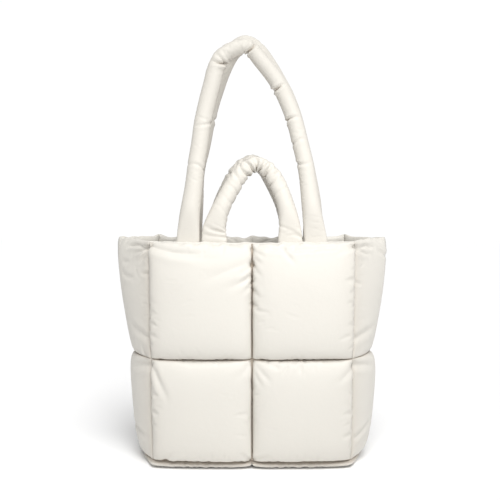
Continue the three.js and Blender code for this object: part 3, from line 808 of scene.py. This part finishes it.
def base_cloth():
    """The cloth under the bag, as two puffs that rest on the ground, and the floor inside."""
    length = FACE_WIDTHS[0] + 2 * GUSSET_BULGES[0]
    across = puff_lines((0, 0.5, 1), length, [BASE_RISE] * 2, [BASE_ROUNDNESS] * 2)
    up = puff_lines((0, 1), DEPTHS[0], [BASE_RISE], [BASE_ROUNDNESS])
    seam_height = BASE_SEAM_HEIGHT - SEAM_GAP / 2
    sideways = (2 * across.share - 1)[:, None]
    forward = (2 * up.share - 1)[None, :]
    depth = DEPTHS[0] / 2 + FACE_CAMBER * (1 - sideways**2)
    reach = gusset_reach(forward, 0.0 * forward)
    plan = stack(sideways * reach, -forward * depth, seam_height)
    on_face = (np.abs(forward) == 1) & (sideways <= 1)
    on_end = ~on_face & (np.abs(sideways) == 1)
    edge = stack(np.where(on_end, sideways, 0), np.where(on_face, -forward, 0), 0)
    lift = across.lift[:, None] * up.lift[None, :]
    pressed = np.minimum(1, BASE_FLATNESS * lift)
    bulge = 4 * pressed * (1 - pressed)
    target = plan + edge * WALL / 2
    end_bulge = BASE_END_OVERHANG * bulge * np.abs(sideways) ** BASE_BULGE_REACH
    face_bulge = BASE_OVERHANG * bulge * np.abs(forward) ** BASE_BULGE_REACH
    target[..., 0] += np.sign(sideways) * end_bulge
    target[..., 1] -= np.sign(forward) * face_bulge
    outline = np.where(on_face | on_end, seam_height, seam_height - WALL)
    target[..., 2] = outline * (1 - pressed)
    seams = lift == 0
    low = np.full(target.shape, -FAR)
    high = np.full(target.shape, FAR)
    low[..., 2] = 0
    high[..., 2] = seam_height
    inside = (across.lift[:, None] > 0) & (forward <= 1)
    high[inside & (sideways < 0), 0] = -CONTACT_GAP
    low[inside & (sideways > 0), 0] = CONTACT_GAP
    low = low.reshape(-1, 3)
    high = high.reshape(-1, 3)
    from_seam = (across.from_seam[:, None] + 0 * forward, up.from_seam[None, :] + 0 * sideways)

    def contact(cloth):
        np.clip(cloth, low, high, out=cloth)

    outer = puff_up(target, 1, from_seam, seams, contact, BASE_SLACK, SETTLE_STEPS, seed=40)
    inner = plan - edge * WALL / 2
    inner[..., 2] += FLOOR_LINING_RISE * across.lining[:, None] * up.lining[None, :]
    # Painted shade beside the base's seams, for the shadow in them.
    beside_columns = painted_seam_shade(across, (BASE_PAINTED_SHADE, CENTRE_PAINTED_SHADE, BASE_PAINTED_SHADE))[:, None]
    beside_rows = painted_seam_shade(up, (BASE_PAINTED_SHADE, BASE_PAINTED_SHADE))[None, :]
    return outer, inner, np.maximum(beside_columns, beside_rows)


# Padded loops.
def face_depth_at(x, z):
    up = np.minimum(1, (z - BASE_SEAM_HEIGHT) / WALL_HEIGHT)
    place = x / (along_wall(up, FACE_WIDTHS) / 2)
    return along_wall(up, DEPTHS) / 2 + FACE_CAMBER * (1 - place**2)


Loop = namedtuple(
    "Loop",
    "name node line creases face spacing rise apex width depth taper slack gather seed",
)


def loop_knots(loop):
    """The points of a loop's middle line, each with the tube's girth there."""
    inset = WALL / 2 + SEAM_GAP + FOOT_THICKNESS / 2
    feet = [loop.line[end]._replace(up=-FOOT_TUCK / loop.rise) for end in (0, -1)]
    knots = []
    for knot in (feet[0], *loop.line, feet[1]):
        x = knot.across * loop.spacing / 2
        z = RIM_HEIGHT + knot.up * loop.rise
        seated = face_depth_at(x, z) - inset
        leaning = min(1, max(0, knot.up)) ** LEAN_CURVE
        y = loop.face * (seated + (loop.apex - seated) * leaning)
        knots.append((x, y, z, knot.girth))
    return np.array(knots)


def smooth_curve(knots):
    """Evenly spaced rows on a smooth curve through knots, and the way travelled to each."""
    knots = np.concatenate([[2 * knots[0] - knots[1]], knots, [2 * knots[-1] - knots[-2]]])
    t = np.linspace(0, 1, CURVE_STEPS, endpoint=False)[:, None]
    pieces = []
    for k in range(1, len(knots) - 2):
        p0, p1, p2, p3 = knots[k - 1: k + 3]
        bend = (2 * p0 - 5 * p1 + 4 * p2 - p3) * t**2 + (3 * p1 - p0 - 3 * p2 + p3) * t**3
        pieces.append(0.5 * (2 * p1 + (p2 - p0) * t + bend))
    fine = np.concatenate([*pieces, knots[-2:-1]])
    steps = np.linalg.norm(np.diff(fine[:, :3], axis=0), axis=1)
    way = np.concatenate([[0], np.cumsum(steps)])
    even = np.linspace(0, way[-1], round(way[-1] / TUBE_CELL) + 1)
    return np.stack([np.interp(even, way, column) for column in fine.T], axis=-1), even


def smooth_rows(rows, width):
    """Each column of some rows, averaged over a window along them."""
    window = np.hanning(width + 2)[1:-1]
    window /= window.sum()
    padded = np.pad(rows, ((width // 2, width // 2), (0, 0)), mode="edge")
    return np.stack([np.convolve(column, window, "valid") for column in padded.T], axis=-1)


def crease_depth(creases, travelled, angle):
    """How deep the creases of a tube press into it."""
    depth = np.zeros((len(travelled), angle.shape[1]))
    for crease in creases:
        wander = CREASE_WANDER * np.sin(2 * angle + crease.at * CREASE_WANDER_TURN)
        wander = crease.slant * MM * np.cos(angle) + wander
        gap = (travelled - crease.at * travelled[-1])[:, None] + wander
        profile = lipped_notch(gap, crease.reach * MM, CREASE_LIP)
        facing = (0.5 + 0.5 * np.cos(angle) * crease.side) ** CREASE_FADE
        depth += crease.depth * MM * profile * facing
    return depth


def loop_cloth(loop):
    """A tube of cloth settled over its filling, from foot to foot, as rings of points, and the
    shade painted along its seam and in its creases, for the shadow in them."""
    path, travelled = smooth_curve(loop_knots(loop))
    centre = path[:, :3]
    girth = path[:, 3]
    tangent = unit(smooth_rows(np.gradient(centre, axis=0), SMOOTH_RINGS))
    inward = unit(np.cross((0, 1, 0), tangent))
    through = np.cross(tangent, inward)
    from_foot = np.minimum(travelled, travelled[-1] - travelled) - FOOT_TUCK
    plump = smooth_step(from_foot, 0, FOOT_FLARE)[:, None]
    narrowed = smooth_step(from_foot, -FOOT_TUCK, loop.taper)[:, None]
    half_across = girth[:, None] * (FOOT_WIDTH + (loop.width - FOOT_WIDTH) * narrowed) / 2
    half_through = (FOOT_THICKNESS + (loop.depth * girth[:, None] - FOOT_THICKNESS) * plump) / 2
    sides = 4 * round(math.pi * (loop.width + loop.depth) / 2 / TUBE_CELL / 4)
    angle = -2 * math.pi * np.arange(sides)[None, :] / sides
    boxy = FOOT_BOXINESS + (1 - FOOT_BOXINESS) * plump
    sideways = half_across * signed_power(np.cos(angle), boxy)
    target = centre[:, None] + inward[:, None] * sideways[..., None]
    deep = half_through * signed_power(np.sin(angle), boxy)
    target += through[:, None] * deep[..., None]
    middle_depth = face_depth_at(centre[:, 0], centre[:, 2])[:, None]
    camber = face_depth_at(target[..., 0], target[..., 2]) - middle_depth
    target[..., 1] += loop.face * camber * (1 - plump)
    normals = grid_normals(target, wrap=True)
    from_seam = np.abs(np.sin(angle / 2)) * (half_across + half_through)
    pressed = crease_depth(loop.creases, travelled, angle) * np.maximum(plump, FOOT_CREASES)
    groove = TUBE_SEAM_DEPTH * bell(from_seam, TUBE_SEAM_WIDTH) * plump
    target -= normals * (pressed + groove)[..., None]

    pinned = np.zeros(target.shape[:2], bool)
    pinned[from_foot < -FOOT_HELD_BELOW * FOOT_TUCK] = True
    turning = np.linalg.norm(np.gradient(tangent, travelled, axis=0), axis=1)[:, None]
    bent = smooth_step(smooth_rows(turning, SMOOTH_BEND_RINGS), SLIGHT_BEND, SHARP_BEND)
    along = np.linalg.norm(np.gradient(target, axis=0), axis=2)
    outside = smooth_rows(along.max(axis=1, keepdims=True), SMOOTH_RINGS)
    gathered = np.clip(outside / along - 1, 0, loop.gather) * bent
    slack_along = loop.slack * patchy(target, TUBE_PATCHES, loop.seed + 10) + gathered
    slack_round = np.full(pinned.shape, TUBE_SLACK_ROUND)
    threads = lace(target, slack_along, slack_round, pinned, wrap=True)
    inside_bend = np.clip(np.cos(angle), LEAST_INSIDE_BEND, 1) * bent
    free_depth = (TUBE_FREE_DEPTH + BEND_FREE_DEPTH * inside_bend).reshape(-1)
    fill_out = filling_of(target, normals, free_depth, TUBE_FREE_HEIGHT, hold_down=2)

    def hold(cloth):
        rings = cloth.reshape(target.shape)
        rings -= RING_CENTRING * (rings.mean(axis=1) - target.mean(axis=1))[:, None]
        fill_out(cloth)

    arc = angle * (half_across + half_through) / 2
    along_slant = travelled[:, None] + TUBE_WRINKLE_SLANT * arc
    slanted = stack(along_slant, TUBE_WRINKLE_CURL * arc, 0)
    roughness = TUBE_ROUGHNESS * soft_noise(slanted, TUBE_WRINKLE_LENGTH, loop.seed)
    start = target + normals * (roughness * ~pinned)[..., None]
    # Painted shade: the shadow in the tube's seam groove and in its deeper creases.
    painted_tube_seam_shade = TUBE_PAINTED_SHADE["strength"] * np.exp(-from_seam / (TUBE_PAINTED_SHADE["reach"] * MM))
    painted_crease_shade = CREASE_PAINTED_SHADE * smooth_step(pressed, CREASE_PAINTED_SHADE_FROM, CREASE_PAINTED_SHADE_FULL)
    return settle(start, threads, hold, pinned, SETTLE_STEPS), np.maximum(painted_tube_seam_shade, painted_crease_shade)


# Meshes.
def add_object(name, data):
    added = bpy.data.objects.new(name, data)
    bpy.context.collection.objects.link(added)
    return added


def quads_of(numbers):
    return np.stack(
        [numbers[:-1, :-1], numbers[1:, :-1], numbers[1:, 1:], numbers[:-1, 1:]], axis=-1
    ).reshape(-1, 4)


def border_of(numbers):
    return np.concatenate(
        [numbers[:-1, 0], numbers[-1, :-1], numbers[:0:-1, -1], numbers[0, :0:-1]]
    )


def cloth_plan(rows, columns, cell):
    """The place of each grid point on the cloth when it lies flat."""
    return cell * np.stack(np.meshgrid(np.arange(rows), np.arange(columns), indexing="ij"), axis=-1)


def make_piece(name, points, quads, plan, shade, material):
    """A mesh object from quads. plan holds the flat cloth's place at each corner of each quad."""
    mesh = bpy.data.meshes.new(name)
    mesh.vertices.add(len(points))
    mesh.vertices.foreach_set("co", points.astype(np.float32).ravel())
    mesh.loops.add(quads.size)
    mesh.loops.foreach_set("vertex_index", quads.astype(np.int32).ravel())
    mesh.polygons.add(len(quads))
    mesh.polygons.foreach_set("loop_start", np.arange(0, quads.size, 4, dtype=np.int32))
    mesh.update(calc_edges=True)
    mesh.validate()
    mesh.polygons.foreach_set("use_smooth", np.ones(len(quads), bool))
    layer = mesh.uv_layers.new(name="cloth")
    layer.data.foreach_set("uv", plan.astype(np.float32).ravel())
    # The seam attribute carries the painted shade of seams, creases and touching puffs.
    tint = mesh.attributes.new("seam", "FLOAT", "POINT")
    tint.data.foreach_set("value", shade.astype(np.float32))
    mesh.materials.append(material)
    return add_object(name, mesh)


def make_panel(name, outer, inner, outer_shade, material):
    """Joins the outer and the inner cloth round their edge into one closed piece."""
    rows, columns = outer.shape[:2]
    outer_numbers = np.arange(rows * columns).reshape(rows, columns)
    inner_numbers = outer_numbers + rows * columns
    border = border_of(outer_numbers)
    points = [outer.reshape(-1, 3), inner.reshape(-1, 3)]
    middle = (points[0][border] + points[1][border]) / 2
    half = (points[0][border] - points[1][border]) / 2
    on_rim = np.isin(border, outer_numbers[:, -1]) & (middle[:, 2] > MID_SEAM_HEIGHT)
    rings = [border]
    count = 2 * rows * columns
    for turn in (math.pi / 4, math.pi / 2, 3 * math.pi / 4):
        ring = middle + half * math.cos(turn)
        ring[:, 2] += on_rim * RIM_EDGE * math.sin(turn)
        points.append(ring)
        rings.append(count + np.arange(len(border)))
        count += len(border)
    rings.append(border + rows * columns)
    plan = cloth_plan(rows, columns, WALL_CELL).reshape(-1, 2)
    sheet_quads = quads_of(outer_numbers)
    quads = [sheet_quads, sheet_quads[:, ::-1] + rows * columns]
    plans = [plan[sheet_quads], plan[sheet_quads[:, ::-1]]]
    for k, (low, high) in enumerate(zip(rings, rings[1:])):
        quads.append(np.stack([np.roll(low, -1), low, high, np.roll(high, -1)], axis=-1))
        shift = np.array([0, WALL / 4])
        near = plan[border] + k * shift
        strip = [np.roll(near, -1, axis=0), near, near + shift, np.roll(near, -1, axis=0) + shift]
        plans.append(np.stack(strip, axis=1))
    shade = np.zeros(count)
    shade[: rows * columns] = outer_shade.reshape(-1)
    return make_piece(
        name, np.concatenate(points), np.concatenate(quads), np.concatenate(plans), shade, material
    )


def make_tube(name, tube, shade, material):
    rows, sides = tube.shape[:2]
    numbers = np.arange(rows * sides).reshape(rows, sides)
    wrapped = np.concatenate([numbers, numbers[:, :1]], axis=1)
    plan_numbers = np.arange(rows * (sides + 1)).reshape(rows, sides + 1)
    plan = cloth_plan(rows, sides + 1, TUBE_CELL).reshape(-1, 2)
    caps = []
    for ring, flip in ((numbers[0], False), (numbers[-1], True)):
        for k in range(sides // 2 - 1):
            quad = [ring[k], ring[k + 1], ring[sides - k - 2], ring[sides - k - 1]]
            caps.append(quad[::-1] if flip else quad)
    caps = np.array(caps)
    flat_tube = tube.reshape(-1, 3)
    quads = np.concatenate([quads_of(wrapped), caps])
    plans = np.concatenate([plan[quads_of(plan_numbers)], flat_tube[caps][..., :2]])
    return make_piece(name, flat_tube, quads, plans, shade.reshape(-1), material)


# Finish.
def make_cloth(name, colour):
    """Smooth nylon: fine weave, small creases, and shade painted into its colour where it runs down
    into a seam or a crease.
    """
    material = bpy.data.materials.new(name)
    material.use_nodes = True
    nodes = material.node_tree.nodes
    links = material.node_tree.links
    shader = nodes["Principled BSDF"]
    for socket, value in SHEEN.items():
        shader.inputs[socket].default_value = value
    place = nodes.new("ShaderNodeTexCoord").outputs["Object"]
    plan = nodes.new("ShaderNodeUVMap")
    plan.uv_map = "cloth"

    def noise(scale, detail):
        texture = nodes.new("ShaderNodeTexNoise")
        texture.inputs["Scale"].default_value = scale
        texture.inputs["Detail"].default_value = detail
        links.new(place, texture.inputs["Vector"])
        return texture.outputs["Fac"]

    def weave(direction):
        texture = nodes.new("ShaderNodeTexWave")
        texture.bands_direction = direction
        texture.inputs["Scale"].default_value = WEAVE_SCALE
        links.new(plan.outputs["UV"], texture.inputs["Vector"])
        return texture.outputs["Fac"]

    def between(value, low, high):
        span = nodes.new("ShaderNodeMapRange")
        span.inputs["To Min"].default_value = low
        span.inputs["To Max"].default_value = high
        links.new(value, span.inputs["Value"])
        return span.outputs["Result"]

    def math_of(operation, first, second):
        node = nodes.new("ShaderNodeMath")
        node.operation = operation
        for socket, value in zip(node.inputs, (first, second)):
            if isinstance(value, float):
                socket.default_value = value
            else:
                links.new(value, socket)
        return node.outputs[0]

    def mix(factor, first, second):
        node = nodes.new("ShaderNodeMix")
        node.data_type = "RGBA"
        links.new(factor, node.inputs["Factor"])
        for socket, value in ((node.inputs[6], first), (node.inputs[7], second)):
            if isinstance(value, tuple):
                socket.default_value = (*value, 1)
            else:
                links.new(value, socket)
        return node.outputs[2]

    def bump(height, distance, normal):
        node = nodes.new("ShaderNodeBump")
        node.inputs["Distance"].default_value = distance
        links.new(height, node.inputs["Height"])
        if normal is not None:
            links.new(normal, node.inputs["Normal"])
        return node.outputs["Normal"]

    # Painted shade: the seam attribute, varied in patches, mixes the colour towards a dark brown
    # for the shadow in seams and creases.
    seam = nodes.new("ShaderNodeAttribute")
    seam.attribute_name = "seam"
    tint = between(noise(**SEAM_PAINTED_SHADE_PATCHES), SEAM_PAINTED_SHADE_LEAST * SEAM_PAINTED_SHADE, SEAM_PAINTED_SHADE)
    shade = math_of("MULTIPLY", seam.outputs["Fac"], tint)
    dull = tuple(DULL_SHARE * part for part in colour)
    mottled = mix(between(noise(**DULL_PATCHES), 0, DULL_MOST), colour, dull)
    links.new(mix(shade, mottled, SEAM_PAINTED_SHADE_COLOUR), shader.inputs["Base Color"])
    rough = between(noise(**ROUGH_PATCHES), ROUGHNESS_LEAST, ROUGHNESS_MOST)
    links.new(rough, shader.inputs["Roughness"])
    normal = bump(noise(**SMALL_CREASES), SMALL_CREASE_DEPTH, None)
    normal = bump(noise(**GRAIN), GRAIN_DEPTH, normal)
    crossing = math_of("MULTIPLY", weave("X"), weave("Y"))
    links.new(bump(crossing, WEAVE_DEPTH, normal), shader.inputs["Normal"])
    return material


# Studio.
def make_camera():
    data = bpy.data.cameras.new("camera")
    data.sensor_width = SENSOR_WIDTH
    data.lens = SENSOR_WIDTH * FOCAL_PIXELS / IMAGE_SIZE
    camera = add_object("camera", data)
    camera.location = CAMERA_PLACE
    camera.rotation_euler = (math.radians(90 - CAMERA_PITCH_DEG), 0, 0)
    bpy.context.scene.camera = camera


def make_world():
    """White behind the bag, with a dimmer sky that fills its shadows."""
    world = bpy.data.worlds.new("studio")
    bpy.context.scene.world = world
    world.use_nodes = True
    nodes = world.node_tree.nodes
    links = world.node_tree.links
    fill = nodes["Background"]
    white = nodes.new("ShaderNodeBackground")
    for sky, strength in ((fill, SKY_FILL), (white, SKY_SEEN)):
        sky.inputs["Color"].default_value = (1, 1, 1, 1)
        sky.inputs["Strength"].default_value = strength
    seen = nodes.new("ShaderNodeLightPath")
    chosen = nodes.new("ShaderNodeMixShader")
    links.new(seen.outputs["Is Camera Ray"], chosen.inputs[0])
    links.new(fill.outputs[0], chosen.inputs[1])
    links.new(white.outputs[0], chosen.inputs[2])
    links.new(chosen.outputs[0], nodes["World Output"].inputs["Surface"])


def make_floor():
    signs = ((-1, -1), (1, -1), (1, 1), (-1, 1))
    corners = [(FLOOR_REACH * x, FLOOR_REACH * y, 0) for x, y in signs]
    mesh = bpy.data.meshes.new("floor")
    mesh.from_pydata(corners, [], [(0, 1, 2, 3)])
    floor = add_object("floor", mesh)
    paint = bpy.data.materials.new("floor_paint")
    paint.use_nodes = True
    shader = paint.node_tree.nodes["Principled BSDF"]
    shader.inputs["Base Color"].default_value = (FLOOR_WHITE, FLOOR_WHITE, FLOOR_WHITE, 1)
    shader.inputs["Roughness"].default_value = FLOOR_ROUGHNESS
    mesh.materials.append(paint)


def make_sun(name, direction, softness_deg, strength):
    data = bpy.data.lights.new(name, "SUN")
    data.angle = math.radians(softness_deg)
    data.energy = strength
    lamp = add_object(name, data)
    lamp.rotation_euler = Vector(direction).to_track_quat("-Z", "Y").to_euler()


def make_spot(name, place, aim, half_angle_deg, watts):
    data = bpy.data.lights.new(name, "SPOT")
    data.spot_size = math.radians(2 * half_angle_deg)
    data.spot_blend = KEY_BLEND
    data.shadow_soft_size = KEY_RADIUS
    data.energy = watts
    lamp = add_object(name, data)
    lamp.location = place
    lamp.rotation_euler = (Vector(aim) - Vector(place)).to_track_quat("-Z", "Y").to_euler()


def make_studio():
    """A high softbox, and a spot in front that leaves the bag's lower half a little dimmer."""
    make_world()
    make_floor()
    make_sun("softbox", **SOFTBOX)
    make_spot("key", **KEY)
    bpy.context.scene.view_settings.view_transform = "Standard"


def make_walls(material):
    face = {
        "side": 0, "columns": (0, 0.5, 1), "width": FACE_WIDTHS[1], "rises": FACE_RISES,
        "roundness": FACE_ROUNDNESS, "up_roundness": FACE_UP_ROUNDNESS, "slack": FACE_SLACK,
        # Shade painted beside the seams of each column and row of puffs.
        "column_tints": (CORNER_PAINTED_SHADE, CENTRE_PAINTED_SHADE, CORNER_PAINTED_SHADE),
        "row_tints": (BASE_PAINTED_SHADE, CENTRE_PAINTED_SHADE, NO_PAINTED_SHADE),
    }
    gusset = {
        "columns": (0, 1), "width": GUSSET_CLOTH_WIDTH, "roundness": GUSSET_ROUNDNESS,
        "up_roundness": GUSSET_UP_ROUNDNESS, "slack": GUSSET_SLACK,
        # Shade painted beside the gusset's seams.
        "column_tints": (CORNER_PAINTED_SHADE, CORNER_PAINTED_SHADE), "row_tints": (BASE_PAINTED_SHADE, GUSSET_PAINTED_SHADE, NO_PAINTED_SHADE),
    }
    walls = (
        Wall("front_cloth", "front_panel", front_sheet, folds=FRONT_FOLDS, wave=0.5 * MM,
             seed=11, **face),
        Wall("back_cloth", "back_panel", back_sheet, folds=BACK_FOLDS, wave=1.2 * MM,
             seed=21, **face),
        Wall("left_side_cloth", "left_gusset", gusset_sheet(-1), side=-1, rises=LEFT_RISES,
             folds=LEFT_FOLDS, wave=0.8 * MM, seed=31, **gusset),
        Wall("right_side_cloth", "right_gusset", gusset_sheet(1), side=1, rises=RIGHT_RISES,
             folds=RIGHT_FOLDS, wave=0.8 * MM, seed=35, **gusset),
    )
    pieces = [(make_panel(wall.name, *wall_cloth(wall), material), wall.node) for wall in walls]
    pieces.append((make_panel("base_cloth", *base_cloth(), material), "base_panel"))
    return pieces


def make_loops(material):
    loops = (
        Loop("front_strap_cloth", "front_shoulder_strap", FRONT_STRAP_LINE, FRONT_STRAP_CREASES,
             face=-1, seed=51, **STRAP),
        Loop("back_strap_cloth", "back_shoulder_strap", BACK_STRAP_LINE, BACK_STRAP_CREASES,
             face=1, seed=52, **STRAP),
        Loop("front_handle_cloth", "front_top_handle", FRONT_HANDLE_LINE, FRONT_HANDLE_CREASES,
             face=-1, seed=53, **HANDLE),
        Loop("back_handle_cloth", "back_top_handle", BACK_HANDLE_LINE, BACK_HANDLE_CREASES,
             face=1, seed=54, **HANDLE),
    )
    return [(make_tube(loop.name, *loop_cloth(loop), material), loop.node) for loop in loops]


def dress(pieces):
    for piece, node in pieces:
        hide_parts(node)
        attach(piece, "root")


make_camera()
make_studio()
dress(make_walls(make_cloth("shell_nylon", SHELL_COLOUR)))
dress(make_loops(make_cloth("strap_nylon", STRAP_COLOUR)))
